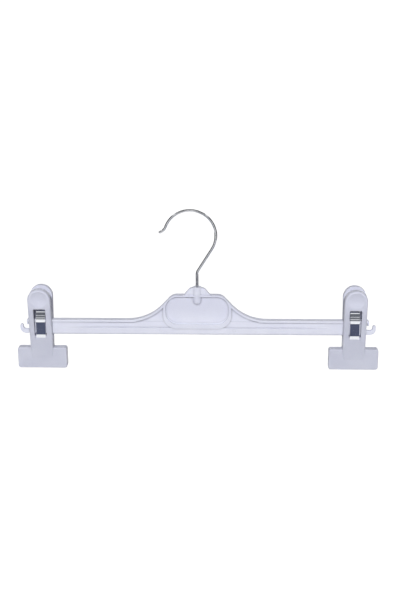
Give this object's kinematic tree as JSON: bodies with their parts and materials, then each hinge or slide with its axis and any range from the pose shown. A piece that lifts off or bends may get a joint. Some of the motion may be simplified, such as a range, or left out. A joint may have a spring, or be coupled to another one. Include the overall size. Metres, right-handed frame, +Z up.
{
  "type": "skirt hanger",
  "caption": "Skirt hanger: moulded plastic bar with a raised label crest, a swivelling wire hook and sprung pinch clips that slide along the bar.",
  "frame": {"origin": "on the swivel axis of the hook, where its inner side rests on a rail", "axes": "+X along the bar to the right as seen from the front, +Y from front to back, +Z up along the swivel axis"},
  "size_m": [0.38, 0.0254, 0.1719],
  "materials": {
    "bar_plastic": "gloss",
    "clip_plastic": "satin",
    "hook_wire": "polished",
    "spring_steel": "polished"
  },
  "bodies": {
    "hook": {"wire_hook": "hook_wire"},
    "bar": {"hanger_bar": "bar_plastic"},
    "left_clip": {"left_spring": "spring_steel"},
    "left_front_leaf": {"left_front_leaf": "clip_plastic"},
    "left_back_leaf": {"left_back_leaf": "clip_plastic"},
    "right_clip": {"right_spring": "spring_steel"},
    "right_front_leaf": {"right_front_leaf": "clip_plastic"},
    "right_back_leaf": {"right_back_leaf": "clip_plastic"}
  },
  "joints": [
    {"name": "hook_swivel", "type": "hinge", "parent": "hook", "child": "bar", "pos_m": [0, 0, -0.08907], "axis": [0, 0, 1], "continuous": true},
    {"name": "left_clip_slide", "type": "slide", "parent": "bar", "child": "left_clip", "axis": [1, 0, 0], "range_m": [0, 0.08]},
    {"name": "left_front_pinch", "type": "hinge", "parent": "left_clip", "child": "left_front_leaf", "pos_m": [-0.164, 0, -0.10907], "axis": [-1, 0, 0], "range_deg": [0, 9], "stiffness_Nm_per_rad": 0.8, "springref_deg": -17.19, "deforming": ["left_spring"]},
    {"name": "left_back_pinch", "type": "hinge", "parent": "left_clip", "child": "left_back_leaf", "pos_m": [-0.164, 0, -0.10907], "axis": [1, 0, 0], "range_deg": [0, 9], "stiffness_Nm_per_rad": 0.8, "springref_deg": -17.19},
    {"name": "right_clip_slide", "type": "slide", "parent": "bar", "child": "right_clip", "axis": [-1, 0, 0], "range_m": [0, 0.08]},
    {"name": "right_front_pinch", "type": "hinge", "parent": "right_clip", "child": "right_front_leaf", "pos_m": [0.164, 0, -0.10907], "axis": [-1, 0, 0], "range_deg": [0, 9], "stiffness_Nm_per_rad": 0.8, "springref_deg": -17.19, "deforming": ["right_spring"]},
    {"name": "right_back_pinch", "type": "hinge", "parent": "right_clip", "child": "right_back_leaf", "pos_m": [0.164, 0, -0.10907], "axis": [1, 0, 0], "range_deg": [0, 9], "stiffness_Nm_per_rad": 0.8, "springref_deg": -17.19}
  ],
  "couplings": [
    {"joint": "left_back_pinch", "follows": "left_front_pinch", "ratio": 1},
    {"joint": "right_back_pinch", "follows": "right_front_pinch", "ratio": 1}
  ]
}
